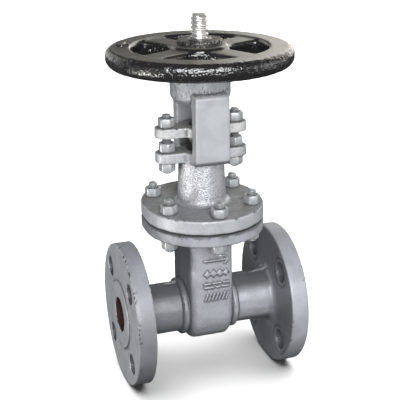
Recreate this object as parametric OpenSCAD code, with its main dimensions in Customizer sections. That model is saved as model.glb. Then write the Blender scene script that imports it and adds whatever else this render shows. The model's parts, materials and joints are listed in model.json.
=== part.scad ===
// Rising-stem, outside-screw-and-yoke gate valve with a bolted bonnet and flanged ends.
// The flow runs along X, the stem along Z. The origin is under the stem, level with the flange rims.
// Heights inside the modules are measured from the pipe axis; at_axis() lifts them to the frame.

/* [Pipe flanges] */
// Outside diameter of the end flanges
flange_od = 155; // [150:1:165]
// Thickness of an end flange without its raised face
flange_t = 19.1; // [16:0.1:22]
// Diameter of the raised face
raised_face_d = 73; // [68:0.5:78]
// Height of the raised face
raised_face_h = 1.6; // [1:0.1:2]
// Distance between the two raised faces
face_to_face = 190.5; // [188:0.5:196]
// Bolt circle of the end flanges
bolt_circle_d = 114.3; // [110:0.1:118]
// Bolt holes of the end flanges
bolt_hole_d = 22.2; // [18:0.1:24]
// Bolt holes in each end flange
bolt_count = 4; // [4:4:8]
// Flow bore
bore_d = 38; // [36:0.5:40]

/* [Body casting] */
// Outside diameter of the pipe necks
neck_od = 55; // [53:0.5:57]
// Outside diameter of the collars round the seat pockets
collar_od = 60; // [59:0.5:64]
// Distance from the stem axis to the end of a collar
collar_reach = 31; // [29:0.5:34]
// Gate chamber along the flow
chamber_x = 48; // [47:0.5:52]
// Gate chamber across the flow
chamber_y = 74; // [73:0.5:80]
// Corner radius of the gate chamber
chamber_corner = 9; // [6:0.5:12]
// Wall thickness of the gate chamber
chamber_wall = 9; // [8:0.5:9.5]
// Radius of the corners of the bonnet joint flanges
joint_flange_r = 63.5; // [61:0.5:66]
// Offset of the two corner arcs from the stem axis, across the flow
joint_flange_offset = 6.5; // [4:0.5:9]
// Thickness of the body's joint flange
body_flange_t = 12; // [11:0.5:14]
// Height of the body's joint face above the pipe axis
joint_face_z = 104.25; // [102:0.25:106]
// Thickness of the bonnet gasket
gasket_t = 1.5; // [1:0.1:2]

/* [Bonnet and yoke] */
// Thickness of the bonnet flange
bonnet_flange_t = 15; // [13:0.5:17]
// Radius of the bonnet neck just above its flange
neck_r_low = 26; // [25:0.5:27]
// Radius of the bonnet neck under the yoke
neck_r_high = 24.2; // [23:0.1:25]
// Height of the underside of the gland lugs above the pipe axis
lug_z = 167; // [165:0.5:169]
// Thickness of the gland lugs
lug_t = 11; // [10:0.5:12]
// Width of the yoke arms along the flow
arm_w = 36; // [32:1:40]
// Distance from the stem axis to the inner face of an arm
arm_inner_y = 25.5; // [25:0.5:27]
// Distance from the stem axis to the outer face of an arm
arm_outer_y = 40.5; // [38:0.5:42]
// Underside of the yoke head above the pipe axis
head_z = 230; // [228:0.5:232]
// Height of the yoke head
head_h = 33; // [33:0.5:34]
// Radius of the yoke head
head_r = 31.5; // [30:0.5:33]

/* [Gate and stem] */
// Radius of the wedge gate
wedge_r = 25; // [24:0.5:26]
// Half thickness of the wedge at the pipe axis
wedge_half_t = 9.5; // [9:0.1:10]
// Angle of each wedge face to the stem
wedge_angle = 5; // [4:0.5:6]
// Diameter of the stem
stem_d = 18; // [17:0.5:18]
// Pitch of the left-hand stem thread
thread_pitch = 4.5; // [4:0.25:5]
// Depth of the stem thread
thread_depth = 2.2; // [1.5:0.1:2.4]
// Top of the closed stem above the pipe axis
stem_top = 318.5; // [312:0.5:322]
// Opening travel of the stem and gate
travel = 45; // [40:1:45]

/* [Packing and gland] */
// Number of packing rings
packing_rings = 5; // [5:1:5]
// Height of one packing ring
packing_h = 6; // [5:0.5:6]
// Bore of the stuffing box
stuffing_box_d = 30; // [29:0.5:31]
// Distance between the two gland studs
gland_stud_gap = 75; // [72:1:78]
// Underside of the gland flange above the pipe axis
gland_z = 194; // [193:0.5:195]
// Thickness of the gland flange
gland_t = 10.5; // [9:0.5:12]
// Radius of the ends of the gland flange and of the gland lugs
gland_end_r = 12.5; // [11:0.5:13]
// Radius of the middle of the gland flange
gland_mid_r = 23; // [21:0.5:23.5]

/* [Fasteners] */
// Diameter of every stud
stud_d = 10; // [8:1:10]
// Width across flats of every hexagon nut
nut_af = 16; // [14:1:17]
// Height of every hexagon nut
nut_h = 10; // [8:0.5:10]

/* [Handwheel] */
// Largest radius of the handwheel
wheel_r = 96.3; // [92:0.1:100]
// Inner radius of the handwheel rim
rim_inner_r = 70; // [66:0.5:72]
// Top of the rim above the pipe axis
rim_top = 285.4; // [284:0.1:286]
// Height of the rim
rim_h = 19.4; // [16:0.1:20]
// Radius of the wheel hub
hub_r = 29; // [27:0.5:31]
// Width of a spoke
spoke_w = 27; // [22:0.5:30]
// Number of spokes
spoke_count = 4; // [3:1:5]
// Direction of the first spoke, in degrees from +X
spoke_angle = 26.4; // [0:0.1:90]
// Radius of the round wheel nut
wheel_nut_r = 23; // [21:0.5:24]

/* [Hidden] */
$fn = 96;
eps = 0.01;

// Clearances
locating_gap = 0.05;
running_gap = 0.08;
bolt_gap = 0.5;

// Pipe axis and end flanges
axis_z = flange_od / 2;
face_x = face_to_face / 2 - raised_face_h;
flange_back_x = face_x - flange_t;
bore_r = bore_d / 2;
neck_fillet = 6;

// Joint flanges
body_flange_z = joint_face_z - body_flange_t;
bonnet_z = joint_face_z + gasket_t;
bonnet_flange_top = bonnet_z + bonnet_flange_t;
gasket_inset = 1.5;
stud_side_x = 45.5;
stud_side_y = 30;
stud_end_y = 57.5;
BONNET_STUDS = [
    [stud_side_x, stud_side_y], [0, stud_end_y], [-stud_side_x, stud_side_y],
    [-stud_side_x, -stud_side_y], [0, -stud_end_y], [stud_side_x, -stud_side_y]
];
UPPER_NUT_TURNS = [58, 11, 32, 38, 40, 53];
LOWER_NUT_TURNS = [20, 30, 50, 46, 32, 5];
bonnet_stud_top = bonnet_flange_top + nut_h + 5.5;
bonnet_stud_bottom = body_flange_z - nut_h - 4;

// Gate chamber
cavity_x = chamber_x - 2 * chamber_wall;
cavity_y = chamber_y - 2 * chamber_wall;
cavity_corner = 2;
guide_half_w = 3;
guide_inner_y = cavity_y / 2 - 5.4;
guide_bottom = -15;
guide_top = 95;

// Seat rings
seat_r = wedge_r + 1;
seat_tail_r = 23;
seat_tail_x = 23;
seat_bore_r = bore_r + 0.3;
seat_gap = 0.15;

// Stem
stem_r = stem_d / 2;
head_bottom = 30;
head_top = 38.5;
head_half_x = 9;
head_half_y = 10.5;
stem_neck_r = 6.5;
shank_bottom = 46;
backseat_z = 128;
collar_r = 12;
collar_top = backseat_z - travel - 0.5;
collar_h = 6;
thread_bottom = 187;

// Bonnet bores
shoulder_r = 12.6;
stuffing_r = stuffing_box_d / 2;
cavity_r = 21;
cavity_top = 118;
bushing_h = 10;
packing_z = backseat_z + bushing_h;
packing_top = packing_z + packing_rings * packing_h;
lug_top = lug_z + lug_t;
arm_chamfer = 5;
arm_shoulder = 5;
window_round = 8;

// Gland
gland_stud_x = gland_stud_gap / 2;
gland_stud_bottom = lug_z - nut_h - 2.5;
gland_stud_top = gland_z + gland_t + nut_h + 3.6;
follower_bore_r = stem_r + 0.3;
follower_top_r = 12;
follower_collar_r = 18;
follower_collar_h = 4;
follower_top = gland_z + gland_t + 1.5;

// Yoke sleeve and its bearings
sleeve_low_r = 12.5;
sleeve_bottom = head_z + 1;
washer_z = head_z + 10;
washer_t = 3;
washer_r = 21;
sleeve_collar_r = 20;
sleeve_collar_h = 7;
upper_washer_z = washer_z + washer_t + sleeve_collar_h;
retainer_z = upper_washer_z + washer_t;
head_top_z = head_z + head_h;
retainer_r = 24;
retainer_spot_r = 1.6;
retainer_spot_pcd_r = 19;
sleeve_up_r = 14;
hub_bottom = head_top_z + 1.5;
hub_top = rim_top + 1.8;
hub_seat_r = 13;
sleeve_end_r = 12.4;
sleeve_top = hub_top + 7.3;
wheel_nut_top = hub_top + 5.8;
wheel_nut_slots = 4;

// Key between the sleeve and the wheel
key_w = 5;
key_inner = 11;
key_outer = 15;
key_bottom = hub_bottom + 1.5;
key_top = hub_top - 3;

// Handwheel rim and spokes
rim_bottom = rim_top - rim_h;
rim_round_top = 8;
rim_round_bottom = 11;
rim_wall = 7;
rim_groove_depth = 12;
spoke_top = rim_top - 1.5;
spoke_h = 13;

// ---- Shared shapes ----

module at_axis() {
    translate([0, 0, axis_z]) children();
}

// A revolve about X; the 2D shape has the radius along its first axis and X along its second
module about_x() {
    rotate([0, 90, 0]) rotate_extrude() children();
}

module rounded_rectangle(w, d, r) {
    square([w - 2 * r, d], center = true);
    square([w, d - 2 * r], center = true);
    for (sx = [-1, 1], sy = [-1, 1]) translate([sx * (w / 2 - r), sy * (d / 2 - r)]) circle(r);
}

// Concave corner fillet that fills the first quadrant of its origin
module fillet_corner(r) {
    difference() {
        square(r);
        translate([r, r]) circle(r);
    }
}

// Outline of the bonnet joint: two arcs joined by short straight sides
module joint_outline(inset) {
    r = joint_flange_r - inset;
    square([2 * r, 2 * joint_flange_offset], center = true);
    for (s = [-1, 1]) translate([0, s * joint_flange_offset]) circle(r);
}

// Outline with two round ends over the gland studs
module lug_outline() {
    square([gland_stud_gap, 2 * gland_end_r], center = true);
    for (s = [-1, 1]) translate([s * gland_stud_x, 0]) circle(gland_end_r);
}

module bonnet_stud_holes(z, h) {
    for (p = BONNET_STUDS) translate([p[0], p[1], z]) cylinder(r = stud_d / 2 + bolt_gap, h = h);
}

module gland_stud_holes(z, h) {
    for (s = [-1, 1]) translate([s * gland_stud_x, 0, z]) cylinder(r = stud_d / 2 + bolt_gap, h = h);
}

// Stud standing at the origin, with a chamfer at both ends
module stud(length) {
    r = stud_d / 2;
    c = 1;
    color("darkgray") {
        cylinder(r1 = r - c, r2 = r, h = c);
        translate([0, 0, c]) cylinder(r = r, h = length - 2 * c);
        translate([0, 0, length - c]) cylinder(r1 = r, r2 = r - c, h = c);
    }
}

// Hexagon nut standing at the origin, with both faces chamfered at 30 degrees
module hex_nut(turn) {
    corner_r = nut_af / 2 / cos(30);
    face_r = nut_af * 0.48;
    outer_r = corner_r + 0.4;
    chamfer = (outer_r - face_r) * tan(30);
    color("lightslategray") rotate(turn) difference() {
        intersection() {
            cylinder(r = corner_r, h = nut_h, $fn = 6);
            rotate_extrude() polygon([
                [0, 0], [face_r, 0], [outer_r, chamfer],
                [outer_r, nut_h - chamfer], [face_r, nut_h], [0, nut_h]
            ]);
        }
        translate([0, 0, -1]) cylinder(r = stud_d / 2 + running_gap, h = nut_h + 2);
    }
}

// ---- Body and its inside ----

module pipe_end_profile() {
    edge = 1;
    translate([0, collar_reach - 18]) square([neck_od / 2, flange_back_x - collar_reach + 18 + eps]);
    translate([0, collar_reach - 18]) square([collar_od / 2, 18]);
    translate([neck_od / 2, collar_reach]) fillet_corner(collar_od / 2 - neck_od / 2);
    translate([neck_od / 2, flange_back_x]) mirror([0, 1]) fillet_corner(neck_fillet);
    polygon([
        [0, flange_back_x], [flange_od / 2 - edge, flange_back_x], [flange_od / 2, flange_back_x + edge],
        [flange_od / 2, face_x - edge], [flange_od / 2 - edge, face_x], [0, face_x]
    ]);
    translate([0, face_x - 1]) square([raised_face_d / 2, raised_face_h + 1]);
}

// Gate chamber outline: a rounded prism that ends in a half-round bottom about the pipe axis
module chamber_shape(w, d, r, h) {
    linear_extrude(height = h) rounded_rectangle(w, d, r);
    about_x() intersection() {
        rounded_rectangle(d, w, r);
        translate([0, -w]) square([d, 2 * w]);
    }
}

module chamber_cavity() {
    difference() {
        chamber_shape(cavity_x, cavity_y, cavity_corner, joint_face_z + 1);
        for (s = [-1, 1]) translate([-guide_half_w, s * (guide_inner_y + 5) - 5, guide_bottom]) {
            cube([2 * guide_half_w, 10, guide_top - guide_bottom]);
        }
    }
}

module flange_bolt_holes() {
    for (side = [-1, 1], i = [0 : bolt_count - 1]) {
        a = 180 / bolt_count + i * 360 / bolt_count;
        translate([
            side * (face_x - flange_t / 2),
            bolt_circle_d / 2 * cos(a),
            bolt_circle_d / 2 * sin(a)
        ]) rotate([0, 90, 0]) cylinder(d = bolt_hole_d, h = flange_t + 4, center = true);
    }
}

module body() {
    color("silver") at_axis() difference() {
        union() {
            about_x() pipe_end_profile();
            mirror([1, 0, 0]) about_x() pipe_end_profile();
            chamber_shape(chamber_x, chamber_y, chamber_corner, body_flange_z + 1);
            translate([0, 0, body_flange_z]) linear_extrude(height = body_flange_t) joint_outline(0);
        }
        rotate([0, 90, 0]) cylinder(r = bore_r, h = face_to_face + 2, center = true);
        rotate([0, 90, 0]) cylinder(r = seat_tail_r + locating_gap, h = 2 * seat_tail_x, center = true);
        chamber_cavity();
        flange_bolt_holes();
        bonnet_stud_holes(body_flange_z - 1, body_flange_t + 2);
    }
}

// Tapered slab between the two seat faces, grown outward by gap on each side
module wedge_slab(gap, bottom, top) {
    low = wedge_half_t + bottom * tan(wedge_angle) + gap;
    high = wedge_half_t + top * tan(wedge_angle) + gap;
    rotate([90, 0, 0]) linear_extrude(height = 4 * wedge_r, center = true) {
        polygon([[-low, bottom], [low, bottom], [high, top], [-high, top]]);
    }
}

module seat_ring(side) {
    color("lightsteelblue") at_axis() difference() {
        mirror([side < 0 ? 1 : 0, 0, 0]) rotate([0, 90, 0]) {
            cylinder(r = seat_r, h = cavity_x / 2 - locating_gap);
            cylinder(r = seat_tail_r, h = seat_tail_x - locating_gap);
        }
        rotate([0, 90, 0]) cylinder(r = seat_bore_r, h = face_to_face, center = true);
        wedge_slab(seat_gap, -2 * wedge_r, 2 * wedge_r);
    }
}

module seat_ring_inlet() {
    seat_ring(-1);
}

module seat_ring_outlet() {
    seat_ring(1);
}

module wedge() {
    boss_half_x = 11;
    boss_half_y = 16;
    slot_gap = 0.4;
    color("lightsteelblue") at_axis() difference() {
        union() {
            intersection() {
                wedge_slab(0, -wedge_r - 1, wedge_r + 1);
                union() {
                    rotate([0, 90, 0]) cylinder(r = wedge_r, h = 40, center = true);
                    translate([-20, -wedge_r, 0]) cube([40, 2 * wedge_r, wedge_r]);
                }
            }
            translate([-boss_half_x, -boss_half_y, wedge_r - 3]) {
                cube([2 * boss_half_x, 2 * boss_half_y, shank_bottom - wedge_r + 3 - slot_gap]);
            }
        }
        translate([-20, -head_half_y - slot_gap, head_bottom - slot_gap]) {
            cube([40, 2 * (head_half_y + slot_gap), head_top - head_bottom + 2 * slot_gap]);
        }
        translate([-20, -stem_neck_r - slot_gap, head_top]) {
            cube([40, 2 * (stem_neck_r + slot_gap), 20]);
        }
        for (s = [-1, 1]) {
            translate([-guide_half_w - slot_gap, s * (guide_inner_y - 0.6 + 5) - 5, -wedge_r - 1]) {
                cube([2 * (guide_half_w + slot_gap), 10, 2 * wedge_r + 2]);
            }
        }
    }
}

// Rings of trapezoidal section stand for the helical thread
module thread_profile() {
    root_r = stem_r - thread_depth;
    turns = floor((stem_top - 2 - thread_bottom) / thread_pitch);
    flank = thread_pitch * 0.12;
    crest = thread_pitch * 0.37;
    start = stem_top - 2 - turns * thread_pitch;
    polygon(concat(
        [[0, thread_bottom - 1], [stem_r, thread_bottom - 1], [stem_r, start - crest - flank]],
        [for (i = [0 : turns - 1], p = [
                [root_r, start - crest],
                [root_r, start + thread_pitch - 2 * crest - 2 * flank],
                [stem_r, start + thread_pitch - 2 * crest - flank],
                [stem_r, start + thread_pitch - crest - flank]
            ]) [p[0], p[1] + i * thread_pitch]],
        [[stem_r, stem_top - 1.5], [stem_r - 1.5, stem_top], [0, stem_top]]
    ));
}

module stem() {
    color("gainsboro") at_axis() {
        translate([-head_half_x, -head_half_y, head_bottom]) {
            cube([2 * head_half_x, 2 * head_half_y, head_top - head_bottom]);
        }
        translate([0, 0, head_top - 1]) cylinder(r = stem_neck_r, h = shank_bottom - head_top + 2);
        translate([0, 0, shank_bottom]) cylinder(r = stem_r, h = thread_bottom - shank_bottom);
        translate([0, 0, collar_top - collar_h]) cylinder(r1 = stem_r, r2 = collar_r, h = collar_h / 2);
        translate([0, 0, collar_top - collar_h / 2]) cylinder(r = collar_r, h = collar_h / 2);
        rotate_extrude() thread_profile();
    }
}

// ---- Bonnet, packing and gland ----

module bonnet_gasket() {
    color("dimgray") at_axis() difference() {
        translate([0, 0, joint_face_z]) linear_extrude(height = gasket_t) difference() {
            joint_outline(gasket_inset);
            rounded_rectangle(cavity_x + 4, cavity_y + 4, cavity_corner + 2);
        }
        bonnet_stud_holes(joint_face_z - 1, gasket_t + 2);
    }
}

// Yoke seen along the flow: a frame with chamfered feet, rounded shoulders and a window
module yoke_outline() {
    foot_z = lug_z + 1.5;
    shoulder_z = head_z + 8;
    difference() {
        union() {
            polygon([
                [-arm_outer_y + arm_chamfer, foot_z], [arm_outer_y - arm_chamfer, foot_z],
                [arm_outer_y, foot_z + arm_chamfer], [arm_outer_y, shoulder_z],
                [-arm_outer_y, shoulder_z], [-arm_outer_y, foot_z + arm_chamfer]
            ]);
            for (s = [-1, 1]) translate([s * (arm_outer_y - arm_shoulder), shoulder_z]) circle(arm_shoulder);
            translate([-arm_outer_y + arm_shoulder, shoulder_z]) {
                square([2 * (arm_outer_y - arm_shoulder), arm_shoulder]);
            }
        }
        translate([0, (head_z + lug_top) / 2]) {
            rounded_rectangle(2 * arm_inner_y, head_z - lug_top, window_round);
        }
    }
}

module bonnet_outside() {
    base_fillet = 6;
    chamfer = 4;
    chamfer_h = 5.6;
    translate([0, 0, bonnet_z]) linear_extrude(height = bonnet_flange_t) joint_outline(0);
    translate([0, 0, bonnet_flange_top - eps]) {
        cylinder(r1 = neck_r_low, r2 = neck_r_high, h = lug_z - bonnet_flange_top + 1);
    }
    rotate_extrude() translate([neck_r_low - 0.3, bonnet_flange_top]) fillet_corner(base_fillet);
    translate([0, 0, lug_z]) linear_extrude(height = lug_t) lug_outline();
    rotate([90, 0, 90]) linear_extrude(height = arm_w, center = true) yoke_outline();
    translate([0, 0, head_z]) {
        cylinder(r1 = head_r - chamfer, r2 = head_r, h = chamfer_h);
        translate([0, 0, chamfer_h]) cylinder(r = head_r, h = head_h - chamfer_h);
    }
}

module bonnet_bores() {
    translate([0, 0, bonnet_z - 1]) cylinder(r = cavity_r, h = cavity_top - bonnet_z + 1);
    translate([0, 0, cavity_top - eps]) {
        cylinder(r1 = cavity_r, r2 = shoulder_r, h = cavity_r - shoulder_r);
    }
    translate([0, 0, bonnet_z]) cylinder(r = shoulder_r, h = lug_top - bonnet_z);
    translate([0, 0, backseat_z]) cylinder(r = stuffing_r, h = lug_top - backseat_z + 1);
    translate([0, 0, head_z - 1]) cylinder(r = sleeve_low_r + running_gap, h = head_h + 2);
    translate([0, 0, washer_z]) cylinder(r = washer_r + locating_gap, h = head_h);
    translate([0, 0, retainer_z]) cylinder(r = retainer_r + locating_gap, h = head_h);
}

module bonnet() {
    color("silver") at_axis() difference() {
        bonnet_outside();
        bonnet_bores();
        bonnet_stud_holes(bonnet_z - 1, bonnet_flange_t + 2);
        gland_stud_holes(lug_z - 1, lug_t + 2);
    }
}

module ring(outer_r, inner_r, z, h) {
    translate([0, 0, z]) difference() {
        cylinder(r = outer_r, h = h);
        translate([0, 0, -1]) cylinder(r = inner_r, h = h + 2);
    }
}

module backseat_bushing() {
    seat_depth = 1.5;
    color("khaki") at_axis() difference() {
        ring(stuffing_r - locating_gap, stem_r + running_gap, backseat_z, bushing_h);
        translate([0, 0, backseat_z - eps]) cylinder(r1 = collar_r - 0.5, r2 = stem_r, h = seat_depth);
    }
}

module packing_ring(i) {
    color("dimgray") at_axis() {
        ring(stuffing_r - locating_gap, stem_r + running_gap, packing_z + (i - 1) * packing_h, packing_h);
    }
}

module gland_follower() {
    collar_z = gland_z - follower_collar_h;
    color("lightgray") at_axis() difference() {
        union() {
            translate([0, 0, packing_top]) cylinder(r = stuffing_r - running_gap, h = collar_z - packing_top);
            translate([0, 0, collar_z]) cylinder(r = follower_collar_r, h = follower_collar_h);
            translate([0, 0, collar_z]) cylinder(r = follower_top_r, h = follower_top - collar_z);
        }
        translate([0, 0, packing_top - 1]) cylinder(r = follower_bore_r, h = follower_top - packing_top + 2);
    }
}

module gland_flange() {
    color("gainsboro") at_axis() difference() {
        translate([0, 0, gland_z]) linear_extrude(height = gland_t) {
            lug_outline();
            circle(gland_mid_r);
        }
        translate([0, 0, gland_z - 1]) cylinder(r = follower_top_r + locating_gap, h = gland_t + 2);
        gland_stud_holes(gland_z - 1, gland_t + 2);
    }
}

module gland_stud(side) {
    at_axis() translate([side * gland_stud_x, 0, gland_stud_bottom]) {
        stud(gland_stud_top - gland_stud_bottom);
    }
}

module gland_side_nut(side, z, turn) {
    at_axis() translate([side * gland_stud_x, 0, z]) hex_nut(turn);
}

module bonnet_stud(i) {
    p = BONNET_STUDS[i - 1];
    at_axis() translate([p[0], p[1], bonnet_stud_bottom]) stud(bonnet_stud_top - bonnet_stud_bottom);
}

module bonnet_nut(i, z, turn) {
    p = BONNET_STUDS[i - 1];
    at_axis() translate([p[0], p[1], z]) hex_nut(turn);
}

// ---- Yoke sleeve and handwheel ----

module key_slot(gap) {
    translate([key_inner - gap, -key_w / 2 - gap, key_bottom - gap]) {
        cube([key_outer - key_inner + 2 * gap, key_w + 2 * gap, key_top - key_bottom + 2 * gap]);
    }
}

module yoke_sleeve() {
    color("darkkhaki") at_axis() difference() {
        union() {
            translate([0, 0, sleeve_bottom]) cylinder(r = sleeve_low_r, h = washer_z + washer_t - sleeve_bottom);
            translate([0, 0, washer_z + washer_t]) cylinder(r = sleeve_collar_r, h = sleeve_collar_h);
            translate([0, 0, upper_washer_z]) cylinder(r = sleeve_up_r, h = hub_bottom - upper_washer_z);
            translate([0, 0, hub_bottom]) cylinder(r = hub_seat_r, h = hub_top - hub_bottom);
            translate([0, 0, hub_top]) cylinder(r = sleeve_end_r, h = sleeve_top - hub_top - 1);
            translate([0, 0, sleeve_top - 1]) cylinder(r1 = sleeve_end_r, r2 = sleeve_end_r - 1, h = 1);
        }
        translate([0, 0, sleeve_bottom - 1]) {
            cylinder(r = stem_r + running_gap, h = sleeve_top - sleeve_bottom + 2);
        }
        key_slot(locating_gap);
    }
}

module thrust_washer(z, inner_r) {
    color("khaki") at_axis() ring(washer_r, inner_r, z, washer_t);
}

module sleeve_retainer() {
    color("darkgray") at_axis() difference() {
        ring(retainer_r, sleeve_up_r + running_gap, retainer_z, head_top_z - retainer_z);
        for (a = [0, 180]) rotate(a) translate([retainer_spot_pcd_r, 0, head_top_z - 4]) {
            cylinder(r = retainer_spot_r, h = 5);
        }
    }
}

// Rim section: flat on top, round outside, open below
module rim_section() {
    difference() {
        union() {
            translate([rim_inner_r, rim_bottom]) square([wheel_r - rim_round_bottom - rim_inner_r, rim_h]);
            translate([rim_inner_r, rim_bottom + rim_round_bottom]) {
                square([wheel_r - rim_inner_r, rim_h - rim_round_bottom - rim_round_top]);
            }
            translate([rim_inner_r, rim_top - rim_round_top - eps]) {
                square([wheel_r - rim_round_top - rim_inner_r, rim_round_top + eps]);
            }
            translate([wheel_r - rim_round_bottom, rim_bottom + rim_round_bottom]) circle(rim_round_bottom);
            translate([wheel_r - rim_round_top, rim_top - rim_round_top]) circle(rim_round_top);
        }
        translate([rim_inner_r + rim_wall, rim_bottom - 1]) {
            square([wheel_r - rim_inner_r - 2 * rim_wall - 1, rim_groove_depth + 1]);
        }
    }
}

module handwheel() {
    color([0.08, 0.08, 0.08]) at_axis() difference() {
        union() {
            rotate_extrude() rim_section();
            translate([0, 0, hub_bottom]) cylinder(r = hub_r, h = hub_top - hub_bottom);
            for (i = [0 : spoke_count - 1]) rotate(spoke_angle + i * 360 / spoke_count) {
                translate([hub_r - 8, -spoke_w / 2, spoke_top - spoke_h]) {
                    cube([rim_inner_r - hub_r + 11, spoke_w, spoke_h]);
                }
            }
        }
        translate([0, 0, hub_bottom - 1]) cylinder(r = hub_seat_r + locating_gap, h = hub_top - hub_bottom + 2);
        key_slot(locating_gap);
    }
}

module wheel_key() {
    color("dimgray") at_axis() key_slot(0);
}

module wheel_nut() {
    edge = 1.5;
    slot_w = 5;
    slot_depth = 2.5;
    color([0.3, 0.3, 0.3]) at_axis() difference() {
        translate([0, 0, hub_top]) {
            cylinder(r = wheel_nut_r, h = wheel_nut_top - hub_top - edge);
            translate([0, 0, wheel_nut_top - hub_top - edge]) {
                cylinder(r1 = wheel_nut_r, r2 = wheel_nut_r - edge, h = edge);
            }
        }
        translate([0, 0, hub_top - 1]) cylinder(r = sleeve_end_r + locating_gap, h = 20);
        for (i = [0 : wheel_nut_slots - 1]) rotate(45 + i * 360 / wheel_nut_slots) {
            translate([wheel_nut_r - slot_depth, -slot_w / 2, hub_top - 1]) cube([10, slot_w, 20]);
        }
    }
}

// ---- Nodes ----

body();
seat_ring_inlet();
seat_ring_outlet();
wedge();
stem();
bonnet_gasket();
bonnet();
backseat_bushing();
for (i = [1 : packing_rings]) packing_ring(i);
gland_follower();
gland_flange();
gland_stud(-1);  // gland_stud_left
gland_stud(1);  // gland_stud_right
gland_side_nut(-1, gland_z + gland_t, 39);  // gland_nut_left
gland_side_nut(1, gland_z + gland_t, 42);  // gland_nut_right
gland_side_nut(-1, lug_top, 25);  // lug_nut_upper_left
gland_side_nut(1, lug_top, 17);  // lug_nut_upper_right
gland_side_nut(-1, lug_z - nut_h, 41);  // lug_nut_lower_left
gland_side_nut(1, lug_z - nut_h, 36);  // lug_nut_lower_right
for (i = [1 : 6]) bonnet_stud(i);
for (i = [1 : 6]) union() {
    bonnet_nut(i, bonnet_flange_top, UPPER_NUT_TURNS[i - 1]);
}
for (i = [1 : 6]) union() {
    bonnet_nut(i, body_flange_z - nut_h, LOWER_NUT_TURNS[i - 1]);
}
yoke_sleeve();
thrust_washer(washer_z, sleeve_low_r + running_gap);  // thrust_washer_lower
thrust_washer(upper_washer_z, sleeve_up_r + running_gap);  // thrust_washer_upper
sleeve_retainer();
handwheel();
wheel_key();
wheel_nut();
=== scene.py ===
# Gate valve: the looks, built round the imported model.
import json
import math

import bmesh
import bpy
import numpy as np
from mathutils import Matrix, Vector


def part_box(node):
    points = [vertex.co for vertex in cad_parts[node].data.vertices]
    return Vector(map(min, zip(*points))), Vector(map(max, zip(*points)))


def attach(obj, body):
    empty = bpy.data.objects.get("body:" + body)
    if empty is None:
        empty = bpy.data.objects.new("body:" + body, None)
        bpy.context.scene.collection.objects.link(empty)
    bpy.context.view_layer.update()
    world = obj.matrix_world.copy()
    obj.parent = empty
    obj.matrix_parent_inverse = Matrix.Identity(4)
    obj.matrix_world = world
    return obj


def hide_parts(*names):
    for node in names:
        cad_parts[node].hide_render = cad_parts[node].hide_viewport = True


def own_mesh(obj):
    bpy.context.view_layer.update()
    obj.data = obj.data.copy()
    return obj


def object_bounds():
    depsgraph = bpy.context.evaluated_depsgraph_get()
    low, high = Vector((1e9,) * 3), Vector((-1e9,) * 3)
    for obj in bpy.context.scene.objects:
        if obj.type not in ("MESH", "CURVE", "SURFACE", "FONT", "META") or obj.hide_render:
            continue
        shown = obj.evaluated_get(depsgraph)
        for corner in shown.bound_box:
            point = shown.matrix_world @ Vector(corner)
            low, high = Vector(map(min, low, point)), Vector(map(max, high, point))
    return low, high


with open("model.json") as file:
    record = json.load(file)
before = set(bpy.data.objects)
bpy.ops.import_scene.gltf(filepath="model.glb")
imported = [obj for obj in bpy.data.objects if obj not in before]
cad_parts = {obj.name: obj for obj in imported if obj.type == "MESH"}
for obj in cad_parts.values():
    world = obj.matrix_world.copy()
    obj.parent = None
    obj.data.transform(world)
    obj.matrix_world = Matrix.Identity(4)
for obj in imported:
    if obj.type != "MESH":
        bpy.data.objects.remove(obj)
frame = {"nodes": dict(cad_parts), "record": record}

cad_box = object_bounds()

# ---- Sizes ----
# Everything below is in millimetres, with heights from the pipe axis, until a mesh is written.

MM = 0.001
MOUNTS = {m["name"]: m for m in frame["record"]["mounts"]}
AXIS_Z = MOUNTS["outlet_bore"]["pos_m"][2] / MM


def limits(node):
    """Lowest and highest corner of a CAD node."""
    low, high = (np.array(corner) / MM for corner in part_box(node))
    low[2] -= AXIS_Z
    high[2] -= AXIS_Z
    return low, high


body_low, body_high = limits("body")
bonnet_low, bonnet_high = limits("bonnet")
wheel_low, wheel_high = limits("handwheel")
gland_low, gland_high = limits("gland_flange")
stem_low, stem_high = limits("stem")

# End flanges and necks
face_end = body_high[0]
raised_face_h = 1.6
flange_t = 19.1
face_x = face_end - raised_face_h
flange_back = face_x - flange_t
flange_r = body_high[1]
raised_r = 36.5
bore_r = MOUNTS["outlet_bore"]["dims"]["r_mm"]
hole_r = MOUNTS["outlet_bolts"]["dims"]["hole_r_mm"]
hole_offset = MOUNTS["outlet_bolts"]["dims"]["pcd_mm"] / 2 * math.cos(math.radians(45))
neck_r = 27.5
collar_r = 31.2
collar_near, collar_far = 25.0, 31.4
flange_fillet = 7.0
neck_fillet = 4.5
spot_face_r = 17.0
spot_face_depth = 0.3
seam_half_w = 0.9

# Gate chamber
chamber_half_x = 24.0
chamber_half_y = 37.0
chamber_corner = 8.0
ridge_half_w = 0.5
ridge_out = 0.9
ridge_bottom = 20.0
draft = math.tan(math.radians(2.6))
chamber_wall = 9.0
cavity_half_x = chamber_half_x - chamber_wall
cavity_half_y = chamber_half_y - chamber_wall
cavity_corner = 2.0
seat_pocket_r = 23.05
seat_pocket_x = 23.0
guide_half_w = 3.0
guide_inner_y = 22.6
guide_bottom, guide_top = -15.0, 95.0

# Bonnet joint
joint_z = body_high[2]
body_flange_z = joint_z - 12.0
bonnet_z = bonnet_low[2]
bonnet_flange_top = limits("bonnet_nut_upper_1")[0][2]
joint_arc_offset = 6.5
joint_r = bonnet_high[1] - joint_arc_offset
side_stud = np.abs((limits("bonnet_stud_1")[0] + limits("bonnet_stud_1")[1]) / 2)
end_stud = np.abs((limits("bonnet_stud_2")[0] + limits("bonnet_stud_2")[1]) / 2)
stud_hole_r = 5.5
joint_round = 1.8
joint_fillet = 3.0

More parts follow.
